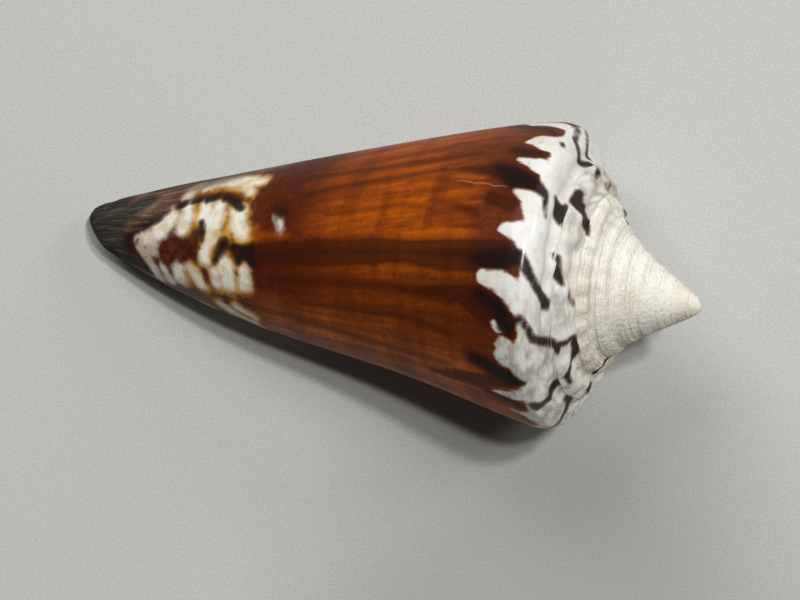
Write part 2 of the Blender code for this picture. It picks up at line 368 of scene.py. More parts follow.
# %% [markdown]
# The patches are collected in one list of points and one list of faces. Points that lie in the same
# place are joined at the end, so the skin is closed. Values such as the growth time jump by a whole
# whorl at a suture, so they are kept for each face's corner and not for the joined point.

# %% A collector for patches
FIELDS = ("time", "path", "whorl", "inside")


class Skin:
    """Collects grids of points with their values, and the faces between them."""

    def __init__(self):
        self.grids = {name: [] for name in ("points", *FIELDS)}
        self.faces = []
        self.count = 0

    def add(self, grid):
        """Adds a grid of points and returns the number of each point."""
        shape = grid["points"].shape[:-1]
        for name, parts in self.grids.items():
            parts.append(grid[name].reshape(-1, 3) if name == "points" else grid[name].reshape(-1))
        first = self.count
        self.count += int(np.prod(shape))
        return first + np.arange(self.count - first).reshape(shape)

    def cover(self, index, flip=False):
        """Four-sided faces between the neighbours of a grid."""
        quads = np.stack([index[:-1, :-1], index[:-1, 1:], index[1:, 1:], index[1:, :-1]], -1)
        quads = quads.reshape(-1, 4)
        self.faces.append(quads[:, ::-1] if flip else quads)

    def values(self, name):
        """All values of one name so far."""
        return np.concatenate(self.grids[name])

    def close(self, loop, centre, rings):
        """Closes a loop with rings that shrink toward its centre and a fan: rim times share plus lift."""
        loop = np.array(loop)
        rim = {name: self.values(name)[loop] for name in self.grids}
        last = loop
        for share, lift in (*rings, (0.0, 0.0)):
            ring = dict(rim)
            ring["points"] = centre + (rim["points"] - centre) * share + np.array([lift, 0, 0])
            index = self.add(ring)
            pair = np.stack([last, index])
            self.cover(np.concatenate([pair, pair[:, :1]], 1), flip=True)
            last = index


# %% All patches of the skin
TIP_RINGS = ((0.72, 0.13), (0.40, 0.12))
END_RINGS = ((0.80, -0.09), (0.55, -0.15), (0.28, -0.19))


def cut(grid, rows):
    """The same rows out of every array of a sheet."""
    return {name: values[:, rows] for name, values in grid.items()}


def across_wall(outer, inner, bulge):
    """Rows across the wall's thickness, blended from edge to edge; their points bulge by a sine."""
    grid = {}
    for name in outer:
        share = np.linspace(0, 1, EDGE_ROWS + 1).reshape(-1, *([1] * outer[name].ndim))
        grid[name] = outer[name] * (1 - share) + inner[name] * share
        if name == "points":
            grid[name] = grid[name] + bulge * np.sin(math.pi * share)
    return grid


def lip_edge(outside, outer):
    """The lip's edge, which bulges the way the shell grows and starts at the suture."""
    ahead = unit(sheet(np.array([-LIP_PROBE]))["points"][0] - sheet(np.array([0.0]))["points"][0])
    ends = [{name: grid[name][0] for name in grid} for grid in (outside, outer)]
    edge = across_wall(*ends, ahead * LIP_EDGE_BULGE)
    edge["points"][:, 0] = outside["points"][-1, SUTURE_ROW : CEILING_ROW + 1]
    return edge


def end_rim(outside, outer, edge):
    """The wall's edge at the narrow end, which bulges away from the tip."""
    ends = [{name: grid[name][: len(outer["time"]), -1] for name in grid} for grid in (outside, outer)]
    rim = across_wall(*ends, np.array([-END_RIM_BULGE, 0.0, 0.0]))
    rim["points"][:, 0] = edge["points"][:, -1]
    return rim


def all_sheets(deep):
    """Every sheet of the shell by name; the walls of the hollow go back to the column called deep."""
    back = grown_back(np.arange(deep + 1))
    outside = sheet(grown_back(np.arange(COLUMNS + 1)))
    older_steps = COLUMNS + np.arange(COLUMNS * (WHORLS - 1) + 1)
    spire = cut(sheet(grown_back(older_steps)), slice(0, SUTURE_ROW + 1))
    inner = cut(sheet(TURN + back), slice(CEILING_ROW, None))
    outer = sheet(back, walls_at(back))
    for wall in (inner, outer):
        wall["inside"] = wall["inside"] + 1.0
    outer["points"][:, 0] = inner["points"][:, 0]
    edge = lip_edge(outside, outer)
    rim = end_rim(outside, outer, edge)
    return {"outside": outside, "spire": spire, "inner": inner, "outer": outer, "edge": edge, "rim": rim}


def close_hollow(skin, blind, inner):
    """Closes the hollow's blind end: a fan under its ceiling and a strip between its two walls."""
    fan = np.stack([blind[2 : CEILING_ROW + 1], blind[1:CEILING_ROW]], -1)
    skin.faces.append(np.concatenate([fan, np.full((len(fan), 1), blind[0])], 1))
    skin.cover(np.stack([blind[CEILING_ROW:], inner]), flip=True)


def close_ends(skin, at, deep):
    """Closes the narrow end and the tip of the spire."""
    loop = at["outside"][deep:, -1].tolist() + at["inner"][1:, -1].tolist()
    loop += [at["outer"][deep, -1]] + at["rim"][1:EDGE_ROWS, deep][::-1].tolist()
    skin.close(loop, np.array([-float(end_depth(1.0)) - END_PEAK, 0.0, 0.0]), END_RINGS)
    loop = at["spire"][-1 - COLUMNS :, 0].tolist() + at["spire"][-1, 1:SUTURE_ROW].tolist()
    skin.close(loop[::-1], np.array([-TIP_DEPTH, -TIP_LEAN, 0.0]), TIP_RINGS)


def whole_skin():
    """Outside, spire, hollow, lip, narrow end and tip, as one collection of patches."""
    skin = Skin()
    deep = int(np.argmin(np.abs(grown_back(np.arange(COLUMNS)) - HOLLOW_ANGLE)))
    at = {name: skin.add(grid) for name, grid in all_sheets(deep).items()}
    for index in (at["outside"], at["spire"], at["inner"], at["edge"].T, at["rim"].T):
        skin.cover(index)
    skin.cover(at["outer"], flip=True)
    close_hollow(skin, at["outer"][deep], at["inner"][deep])
    close_ends(skin, at, deep)
    return skin


skin = whole_skin()
print("points before joining", skin.count)

# %% [markdown]
# ## Markings
# The colours of a shell are laid down at the lip as it grows, so they are placed in shell terms: the
# angle round the axis, with 0 straight up and minus toward the lip, and the path in millimetres from
# the suture over the ramp and the shoulder and down the side. A marking is a brush stroke: points
# with a half-width each. Every point of the skin stores how deep it lies inside the nearest stroke.

# %% Strokes and the distance to them
STROKE_STEPS = 4
STROKE_REACH = 3.0
HALF_WHORL = 0.5
FAR_OUTSIDE = -99.0
SHORTEST = 1e-9
points = skin.values("points")
whorl = skin.values("whorl")


def on_shell(older, stroke):
    """Points in space, half-widths and whorls of a stroke, cut into short steps that follow the curve."""
    stroke = np.array(stroke, float)
    corner = np.arange(len(stroke))
    along = np.linspace(0, corner[-1], STROKE_STEPS * corner[-1] + 1)
    degrees, path, half = [np.interp(along, corner, column) for column in stroke.T]
    n = older + ((np.radians(degrees) - LIP_ANGLE) % TURN) / TURN
    radius, depth = section(np.repeat(n[:, None], len(row_lags), 1))
    rows = zip(path, path_along(radius, depth), radius, depth)
    at = np.array([(np.interp(p, s, r), np.interp(p, s, d)) for p, s, r, d in rows])
    return coil(at[:, 0], at[:, 1], LIP_ANGLE + n * TURN), half, n


def inside_stroke(older, stroke):
    """Depth inside a stroke in mm, minus outside: half-width less the distance to the nearest segment."""
    place, half, n = on_shell(older, stroke)
    near = np.abs(whorl - n.mean()) < HALF_WHORL
    near &= np.all(points > place.min(0) - STROKE_REACH, axis=1)
    near &= np.all(points < place.max(0) + STROKE_REACH, axis=1)
    spots = points[near]
    best = np.full(len(spots), FAR_OUTSIDE)
    for a, b, wide_a, wide_b in zip(place, place[1:], half, half[1:]):
        along = b - a
        t = np.clip((spots - a) @ along / max(along @ along, SHORTEST), 0, 1)
        gap = np.linalg.norm(spots - a - t[:, None] * along, axis=1)
        best = np.maximum(best, wide_a + (wide_b - wide_a) * t - gap)
    depth = np.full(len(points), FAR_OUTSIDE)
    depth[near] = best
    return depth


def inside_any(strokes, older=0):
    """Depth inside the deepest of several strokes, drawn so many whorls back from the last one."""
    return np.max([inside_stroke(older, stroke) for stroke in strokes], axis=0)


# %% [markdown]
# The shoulder is white with a ragged edge: lobes of white reach down into the brown of the side,
# and brown tongues reach up between them.

# %% White lobes of the shoulder
marks = {}
marks["white"] = [
    [(-80, 9.6, 0.3), (-77, 8.2, 0.9), (-76, 5.6, 1.2)],
    [(-57, 7.6, 0.2), (-58, 6.6, 0.8), (-57, 5.4, 1.3), (-58, 4.4, 1.3)],
    [(-46, 7.4, 0.2), (-44, 5.7, 0.6), (-44, 4.7, 1.0)],
    [(-31, 6.5, 0.25), (-29, 4.8, 0.9), (-22, 4.2, 0.9)],
    [(-17, 6.8, 0.6), (-16, 5.6, 1.0), (-13, 3.9, 1.3), (-6, 2.2, 1.4)],
    [(1, 8.3, 0.7), (2, 6.7, 1.0), (6, 5.0, 1.3), (10, 3.6, 1.3)],
    [(18, 7.0, 0.2), (20, 6.6, 0.45), (21, 5.8, 0.2)],
    [(25, 5.9, 0.6), (32, 6.2, 0.8), (30, 4.4, 1.3), (37, 3.4, 1.6)],
    [(51, 7.9, 0.1), (50, 6.0, 0.5), (49, 4.0, 0.9), (54, 3.0, 1.2)],
    [(61, 6.6, 0.1), (63, 4.9, 0.45), (72, 3.5, 0.8)],
]

# %% Black marks of the shoulder, the ramps and the spire
black_marks = {
    0: [
        [(-5, 9.6, 0.5), (-5, 8.0, 0.95), (-6, 6.3, 1.0), (-7, 4.9, 0.75), (-3, 3.9, 0.55)],
        [(-3, 3.9, 0.55), (2, 2.9, 0.45), (7, 1.5, 0.5), (10, 0.9, 0.65), (13, 0.2, 0.25)],
        [(-43, 9.6, 0.3), (-40, 8.2, 0.9), (-37, 6.9, 1.15), (-35, 5.0, 0.75), (-33, 3.7, 0.45)],
        [(-33, 3.7, 0.45), (-29, 3.3, 0.28), (-25, 2.9, 0.12)],
        [(-76, 10.6, 0.2), (-72, 8.8, 0.3), (-68, 6.6, 0.3), (-65, 5.4, 0.1)],
        [(-52, 8.4, 0.1), (-50, 7.0, 0.3), (-50, 5.7, 0.15)],
        [(-84, 4.8, 0.3), (-81, 4.1, 0.38), (-71, 3.4, 0.38), (-70, 1.8, 0.42), (-74, 0.6, 0.4)],
        [(-91, 4.1, 0.28), (-88, 3.4, 0.34), (-82, 2.2, 0.34), (-87, 0.8, 0.28)],
        [(-74, 0.6, 0.35), (-84, 0.0, 0.3)],
        [(-61, 4.1, 0.30), (-60, 4.0, 0.30)],
        [(-36, 1.9, 0.4), (-33, 1.1, 0.80), (-31, 0.5, 0.70), (-27, 0.0, 0.2)],
        [(-34, 0.9, 0.4), (-38, 0.1, 0.25)],
        [(-13, 0.3, 0.2), (-11, 0.0, 0.3)],
        [(8, 8.9, 0.5), (10, 7.6, 0.7), (13, 6.2, 0.8), (18, 5.9, 0.75), (21, 5.5, 0.4)],
        [(20, 5.4, 0.4), (16, 4.8, 0.35), (15, 4.3, 0.38), (19, 3.5, 0.34), (24, 2.8, 0.34)],
        [(24, 2.8, 0.34), (29, 0.8, 0.45), (31, 0.0, 0.4)],
        [(57, 0.0, 0.35), (60, 0.8, 0.42), (60, 2.4, 0.5), (60, 3.4, 0.55), (56, 4.0, 0.42)],
        [(77, 0.3, 0.4), (86, 0.5, 0.5), (89, 1.6, 0.4), (86, 3.0, 0.28), (84, 3.9, 0.2)],
        [(35, 9.6, 0.5), (37, 8.0, 0.85), (40, 6.0, 0.8), (43, 4.4, 0.35)],
        [(52, 8.6, 0.3), (54, 6.4, 0.35), (57, 4.9, 0.2)],
    ],
    1: [
        [(-84, 3.1, 0.4), (-83, 2.9, 0.4), (-72, 2.3, 0.15)],
        [(-90, 1.4, 0.12), (-88, 0.0, 0.15)],
        [(-100, 2.1, 0.12), (-89, 0.0, 0.15)],
        [(-49, 2.9, 0.60), (-44, 2.6, 0.75), (-43, 1.2, 0.80), (-39, 0.1, 0.65)],
        [(-12, 3.4, 0.3), (-5, 3.2, 0.45), (1, 2.4, 0.25)],
        [(5, 1.1, 0.2), (12, 0.2, 0.22)],
        [(29, 3.9, 0.4), (31, 3.3, 0.42), (33, 3.1, 0.42), (36, 2.9, 0.3)],
        [(32, 3.0, 0.25), (34, 1.5, 0.3), (33, 0.4, 0.25), (44, 0.4, 0.45)],
        [(44, 0.5, 0.5), (51, 1.2, 0.42), (56, 2.4, 0.28), (61, 2.3, 0.22)],
        [(97, 1.5, 0.35), (101, 2.5, 0.3)],
    ],
    2: [
        [(-105, 1.8, 0.22), (-113, 1.3, 0.2)],
        [(-38, 3.0, 0.45), (-34, 2.5, 0.25)],
        [(91, 0.6, 0.45), (85, 2.2, 0.4)],
    ],
    3: [[(-98, 1.7, 0.2), (-92, 1.6, 0.2)]],
}

# %% [markdown]
# Near the narrow end the pattern breaks up again: rows of white spots with yellow feet, a dark
# brown patch and a few black dots, all inside a step where the lip once stood.

# %% Marks near the narrow end
marks["pale"] = [
    [(-25, 48.2, 0.5), (-18, 48.4, 1.0), (-8, 49.0, 1.0), (1, 50.2, 0.7), (5, 51.2, 0.4)],
    [(-28, 46.0, 0.60), (-18, 46.0, 0.85), (-9, 46.1, 0.75)],
    [(-30, 43.8, 0.55), (-20, 43.2, 0.85), (-11, 42.2, 0.7), (0, 42.3, 0.6), (6, 42.5, 0.4)],
    [(-29, 42.0, 0.60), (-20, 41.7, 0.85), (-13, 41.5, 0.55)],
    [(-23, 39.2, 0.70), (-12, 38.5, 0.80), (-6, 37.9, 0.5)],
    [(8, 42.5, 0.4), (14, 42.6, 0.5)],
    [(45, 50.4, 0.5), (55, 50.1, 0.7)],
    [(37, 48.7, 0.4), (49, 48.3, 0.65)],
    [(29, 46.5, 0.50), (40, 46.5, 0.80)],
    [(26, 44.8, 0.4), (34, 44.0, 0.70), (40, 43.6, 0.5)],
    [(12, 40.4, 0.5), (20, 39.7, 0.9), (30, 39.6, 0.85)],
    [(25, 41.3, 0.4), (33, 41.2, 0.6)],
    [(18, 37.5, 0.60), (28, 37.3, 0.80)],
    [(-19, 33.8, 0.20), (-16, 33.6, 0.30), (-12, 33.3, 0.20)],
    [(-53, 44.8, 0.40), (-60, 43.5, 0.8), (-57, 41.4, 0.9), (-50, 39.2, 0.9), (-50, 37.5, 0.3)],
    [(-48, 39.4, 0.6), (-39, 38.5, 0.3)],
    [(-43, 47.0, 0.35), (-54, 46.7, 0.7), (-58, 46.2, 0.5)],
    [(57, 41.4, 0.35), (63, 40.4, 0.5), (68, 38.0, 0.3)],
    [(53, 39.3, 0.2), (58, 37.4, 0.35)],
]
marks["cream"] = [
    [(8, 52.0, 1.0), (20, 51.4, 1.0), (32, 50.9, 0.7), (38, 50.2, 0.4)],
    [(6, 50.6, 1.0), (18, 50.2, 0.8)],
    [(-25, 53.2, 0.3), (-32, 51.6, 0.45), (-38, 50.6, 0.3)],
]
marks["ochre"] = [
    [(-8, 42.4, 0.7), (-9, 40.2, 1.0), (-4, 38.3, 0.8)],
    [(-27, 44.9, 0.5), (-12, 44.6, 0.5)],
    [(-24, 47.2, 0.35), (-14, 47.4, 0.3)],
    [(-26, 40.6, 0.5), (-18, 40.3, 0.5)],
    [(28, 45.4, 0.3), (38, 45.3, 0.35)],
    [(38, 42.2, 0.5), (36, 40.0, 0.5), (34, 38.0, 0.5)],
    [(19, 38.7, 0.25), (30, 38.6, 0.3)],
    [(-10, 37.1, 0.35), (-12, 36.2, 0.2)],
    [(-6, 36.8, 0.4), (-7, 34.8, 0.55), (-8, 32.4, 0.3)],
    [(-47, 44.6, 0.4), (-46, 41.8, 0.5), (-42, 39.2, 0.5), (-36, 38.0, 0.3)],
]
marks["patch"] = [
    [(14, 48.2, 0.8), (8, 46.8, 1.1), (8, 45.0, 1.0), (14, 44.0, 0.6)],
    [(20, 47.6, 0.8), (19, 45.8, 0.9)],
    [(23, 42.5, 0.45), (33, 42.7, 0.4)],
    [(-29, 48.2, 0.25), (-35, 45.4, 0.35), (-38, 42.6, 0.55), (-37, 40.8, 0.5), (-31, 39.6, 0.45)],
]
end_blacks = [
    [(-13, 43.6, 0.3), (-6, 43.3, 0.45), (0, 43.2, 0.35)],
    [(-1, 40.0, 0.45), (6, 40.5, 0.6), (14, 41.2, 0.45)],
    [(7, 37.8, 0.5), (13, 38.1, 0.45)],
    [(2, 38.8, 0.4), (4, 36.9, 0.7), (10, 36.4, 0.6)],
    [(-25, 33.9, 0.45), (-21, 33.5, 0.5)],
    [(52, 51.0, 0.3), (44, 52.3, 0.6), (30, 53.8, 1.0), (14, 54.4, 1.1), (4, 54.2, 0.9)],
    [(4, 54.2, 0.9), (-4, 53.2, 0.7), (-12, 52.0, 0.65)],
    [(-12, 52.0, 0.7), (-18, 50.6, 0.75), (-24, 49.3, 0.5), (-27, 48.5, 0.1)],
    [(-30, 47.6, 0.30), (-33, 46.8, 0.35)],
    [(-34, 45.6, 0.30), (-36, 44.9, 0.30)],
    [(-36, 43.8, 0.45), (-38, 42.8, 0.40)],
    [(-36, 41.6, 0.45), (-34, 40.6, 0.40)],
    [(-31, 39.9, 0.50), (-26, 39.0, 0.35)],
]
marks["layer"] = [
    [(30, 59.0, 1.5), (0, 57.0, 1.5), (-15, 54.4, 1.2), (-30, 52.2, 1.6), (-44, 49.5, 2.0)],
    [(-60, 55.0, 2.6), (-64, 50.0, 2.8), (-70, 44.0, 2.2), (-76, 37.0, 1.4)],
]
marks["slate"] = [
    [(45, 58.0, 2.8), (0, 58.0, 3.2), (-30, 57.4, 2.4), (-50, 57.0, 1.8)],
    [(-22, 55.2, 0.6), (-32, 53.8, 0.7), (-45, 52.0, 0.6)],
    [(-72, 52.0, 0.6), (-76, 47.0, 0.4), (-80, 42.0, 0.2)],
    [(40, 55.6, 0.9), (46, 53.4, 0.5), (48, 51.8, 0.25)],
    [(45, 58.0, 2.4), (80, 57.0, 2.0), (120, 56.0, 2.6), (170, 55.0, 2.2), (220, 55.0, 2.6)],
    [(-50, 57.0, 1.8), (-90, 58.5, 2.2), (-115, 60.0, 2.8), (-138, 61.0, 2.4)],
]

# %% Soft streaks of the side
marks["smoke"] = [
    [(6, 36.6, 1.0), (0, 30.0, 1.15), (-3, 24.0, 1.2), (-5, 18.0, 1.2), (-5, 13.8, 1.4)],
    [(-5, 13.8, 1.4), (-6, 9.0, 1.6), (-7, 6.3, 1.3)],
    [(12, 18.0, 0.1), (8, 12.0, 0.5), (10, 9.8, 1.1), (14, 7.4, 1.3), (17, 6.0, 0.8)],
    [(-43, 15.8, 0.1), (-41, 9.4, 0.8), (-37, 6.9, 1.1)],
    [(51, 15.0, 0.2), (47, 10.0, 0.8), (43, 6.5, 0.9)],
    [(-28, 9.0, 0.8), (-26, 6.8, 0.7)],
]
marks["thin"] = [
    [(20, 34.0, 0.45), (13, 25.2, 0.5), (11, 18.2, 0.5), (12, 11.9, 0.5)],
    [(31, 30.3, 0.3), (27, 24.2, 0.35), (24, 18.1, 0.35), (27, 12.3, 0.4)],
    [(-33, 32.0, 0.3), (-38, 27.5, 0.35), (-40, 23.0, 0.35), (-43, 15.8, 0.4)],
    [(-28, 16.2, 0.2), (-25, 12.5, 0.5), (-22, 10.3, 0.5)],
    [(-39, 16.7, 0.2), (-35, 11.8, 0.4)],
    [(-21, 28.0, 0.2), (-26, 19.3, 0.3), (-24, 15.0, 0.2)],
    [(45, 31.0, 0.4), (45, 25.0, 0.4), (45, 19.0, 0.4), (43, 13.0, 0.4)],
    [(-47, 32.0, 0.4), (-48, 25.0, 0.5), (-50, 18.0, 0.5), (-51, 12.0, 0.4)],
]

# %% [markdown]
# On the side away from the camera the pattern goes on in the same manner. Lobes, tongues, spots and
# dark streaks follow at uneven steps, with no two alike.

# %% Marks of the hidden side
HIDDEN_FROM = 84
HIDDEN_TO = 262
LOBE_STEP = 13
LOBE_REACH = (5.0, 8.8)
LOBE_SLANT = (-4, 4)
LOBE_WIDTH = (0.7, 1.2)
TONGUE_SHARE = 0.6
TONGUE_TOP = (1.5, 4.5)
TONGUE_WIDTH = (0.35, 0.75)
SPOT_TO = 212
SPOT_STEP = 17
SPOT_PATHS = (37.6, 41.2, 44.8, 48.2)
SPOT_SHARE = 0.75
SPOT_SHIFT = (-0.7, 0.7)
SPOT_WIDTH = (0.5, 0.9)
STREAK_STEP = 31
STREAK_SHIFT = (-5, 5)
STREAK_WIDTH = (0.6, 1.2)

uneven = np.random.default_rng(7)
hidden_lobes = []
hidden_tongues = []
for degrees in range(HIDDEN_FROM, HIDDEN_TO, LOBE_STEP):
    reach = uneven.uniform(*LOBE_REACH)
    slant = uneven.uniform(*LOBE_SLANT)
    width = uneven.uniform(*LOBE_WIDTH)
    tip = (degrees + slant, reach, 0.3)
    hidden_lobes.append([tip, (degrees, reach - 1.6, width), (degrees - slant, 3.0, 1.4)])
    if uneven.random() < TONGUE_SHARE:
        top = uneven.uniform(*TONGUE_TOP)
        width = uneven.uniform(*TONGUE_WIDTH)
        hidden_tongues.append([(degrees + 7, 9.6, 0.2), (degrees + 5, 6.0, width), (degrees + 4, top, 0.2)])

hidden_spots = []
for degrees in range(HIDDEN_FROM, SPOT_TO, SPOT_STEP):
    for spot_path in SPOT_PATHS:
        if uneven.random() < SPOT_SHARE:
            at = spot_path + uneven.uniform(*SPOT_SHIFT)
            width = uneven.uniform(*SPOT_WIDTH)
            hidden_spots.append([(degrees - 5, at, width - 0.2), (degrees + 4, at - 0.5, width)])

hidden_streaks = []
for degrees in range(HIDDEN_FROM + STREAK_STEP, HIDDEN_TO, STREAK_STEP):
    first, middle, last = degrees + uneven.uniform(*STREAK_SHIFT, 3)
    width = uneven.uniform(*STREAK_WIDTH)
    hidden_streaks.append([(first, 34.0, 0.2), (middle, 20.0, width), (last, 8.0, width)])
print("hidden marks", len(hidden_lobes), len(hidden_tongues), len(hidden_spots), len(hidden_streaks))

# %% [markdown]
# All of these become named values on the skin. The outermost band, from the suture over the
# shoulder, is white all round.

# %% Values on the skin
SHOULDER_BAND = 4.6
path = skin.values("path")
marks["white"] += hidden_lobes
marks["pale"] += hidden_spots
marks["smoke"] += hidden_streaks
black_marks[0] += hidden_tongues + end_blacks
fields = {name: inside_any(strokes) for name, strokes in marks.items()}
fields["white"] = np.maximum(fields["white"], SHOULDER_BAND - path)
fields["black"] = np.max([inside_any(strokes, older) for older, strokes in black_marks.items()], axis=0)
fields.update(path=path, whorl=whorl, inside=skin.values("inside"))
print("deepest inside a white lobe, in mm", round(float(fields["white"].max()), 2))

# %% [markdown]
# ## Laying the shell down and joining the skin
# The shell rests on the lip's edge and on the flank beside the opening. The lowest tenth of a
# millimetre is worn flat there, which keeps it from rolling.

# %% The mesh
REST_PITCH = math.radians(12.942)
REST_ROLL = math.radians(-0.299)
REST_SHIFT = (34.7838, -1.0527, 17.1113)
SHARP_ANGLE = math.radians(50)
JOIN_DECIMALS = 4
KNOB_HEIGHT = 0.26
KNOB_WAVES = ((16, 0.9, 0.0), (9, -1.7, 2.0))
RIPPLE_HEIGHT = 0.02
RIPPLE_WAVES = ((37, -2.3, 0.0), (22, 3.1, 0.0))
KNOB_UP = 0.8
KNOB_OUT = 0.6
KNOB_FADE_BELOW = (1.5, 4.0)
KNOB_FADE_OUTWARD = (12.5, 15.5)
KNOB_FADE_INWARD = (5.0, 10.5)
LAYER_THICKNESS = 0.12
LAYER_EDGE = (-0.30, 0.10)
LAYER_PATH = (43.0, 50.0)


def laid_down(spots):
    """Turns the shell about Y and X from its own axis to the way it lies, and wears its lowest part flat."""
    x, y, z = spots.T
    y, z = rotated(y, z, REST_ROLL)
    x, z = rotated(x, z, REST_PITCH)
    lying = np.stack([x, y, z], -1) + np.array(REST_SHIFT)
    lying[:, 2] = np.maximum(lying[:, 2], 0.0)
    return lying


def joined(spots, faces):
    """One number for all points in the same place; faces that lose a corner keep their other corners."""
    _, first, number = np.unique(spots.round(JOIN_DECIMALS), axis=0, return_index=True, return_inverse=True)
    number = number.reshape(-1)
    kept_faces = []
    kept_corners = []
    for group in faces:
        new = number[group]
        whole = np.all(new != np.roll(new, 1, axis=1), axis=1)
        kept_faces += new[whole].tolist()
        kept_corners += group[whole].tolist()
        for face, corners in zip(new[~whole].tolist(), group[~whole].tolist()):
            pairs = [(f, c) for k, (f, c) in enumerate(zip(face, corners)) if f != face[k - 1]]
            if len(pairs) > 2:
                kept_faces.append([f for f, _ in pairs])
                kept_corners.append([c for _, c in pairs])
    return spots[first], kept_faces, np.concatenate(kept_corners)


def wave_product(angle, radius, waves):
    """Product of sines, each with its waves in a turn, its shift for each mm of radius and its start."""
    return np.prod([np.sin(around * angle + out * radius + start) for around, out, start in waves], axis=0)


def weathered(spots):
    """Uneven worn knobs of the spire: products of waves in the angle and the radius, moved out and up."""
    x, y, z = spots.T
    radius = np.hypot(y, z)
    angle = np.arctan2(z, y)
    knobs = KNOB_HEIGHT * wave_product(angle, radius, KNOB_WAVES)
    ripples = RIPPLE_HEIGHT * wave_product(angle, radius, RIPPLE_WAVES)
    on_spire = 1 - ease(-x - rim_depth(radius), *KNOB_FADE_BELOW)
    on_spire = on_spire * (1 - ease(radius, *KNOB_FADE_OUTWARD)) * ease(radius, *KNOB_FADE_INWARD)
    height = (knobs + ripples) * on_spire
    safe = np.maximum(radius, COLUMELLA_RADIUS)
    toward = np.stack([np.full_like(x, KNOB_UP), KNOB_OUT * y / safe, KNOB_OUT * z / safe], -1)
    return spots + toward * height[:, None]


def raised(spots):
    """Lifts the last layer near the narrow end away from the axis by an eased step at its edge."""
    out = spots * np.array([0.0, 1.0, 1.0])
    out = out / np.maximum(np.linalg.norm(out, axis=1), COLUMELLA_RADIUS)[:, None]
    share = ease(fields["layer"], *LAYER_EDGE) * ease(path, *LAYER_PATH)
    return spots + out * LAYER_THICKNESS * share[:, None]


def placed(name, data):
    """A new object of the scene."""
    thing = bpy.data.objects.new(name, data)
    bpy.context.scene.collection.objects.link(thing)
    return thing


def store(mesh, name, kind, part, values):
    """Stores values at the corners of the faces."""
    stored = mesh.attributes.new(name, kind, "CORNER")
    stored.data.foreach_set(part, values.astype(np.float32).reshape(-1))


def make_shell():
    """Puts the joined skin into a mesh and stores each value at the corners of its faces."""
    spots, faces, corners = joined(laid_down(raised(weathered(points))), skin.faces)
    mesh = bpy.data.meshes.new("shell_skin")
    mesh.from_pydata((spots * MM).tolist(), [], faces)
    for name, values in fields.items():
        store(mesh, name, "FLOAT", "value", values[corners])
    rim = LIP_RIM_RADIUS * TURN / math.log(WHORL_GROWTH)
    lay = np.stack([-rim * WHORL_GROWTH ** (-skin.values("time")), path, 0 * path], -1)
    store(mesh, "lay", "FLOAT_VECTOR", "vector", lay[corners])
    mesh.shade_smooth()
    mesh.set_sharp_from_angle(angle=SHARP_ANGLE)
    return placed("cone_shell", mesh)


shell = make_shell()
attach(shell, "root")
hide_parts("shell")
triangles = sum(len(polygon.vertices) - 2 for polygon in shell.data.polygons)
print("triangles", triangles)

# %% [markdown]
# ## Colours
# The finish is one material. Its nodes read the values stored on the skin, add fine noise so that
# no edge is drawn with a ruler, and choose between brown, white, black, chalk and the dark end.

# %% Helpers for nodes
def linear(red, green, blue):
    """A colour as seen on a screen, 0 to 255, turned into light: the usual power of 2.4 with a toe."""
    seen = np.array([red, green, blue]) / 255
    light = np.where(seen <= 0.04045, seen / 12.92, ((seen + 0.055) / 1.055) ** 2.4)
    return (*[float(v) for v in light], 1.0)


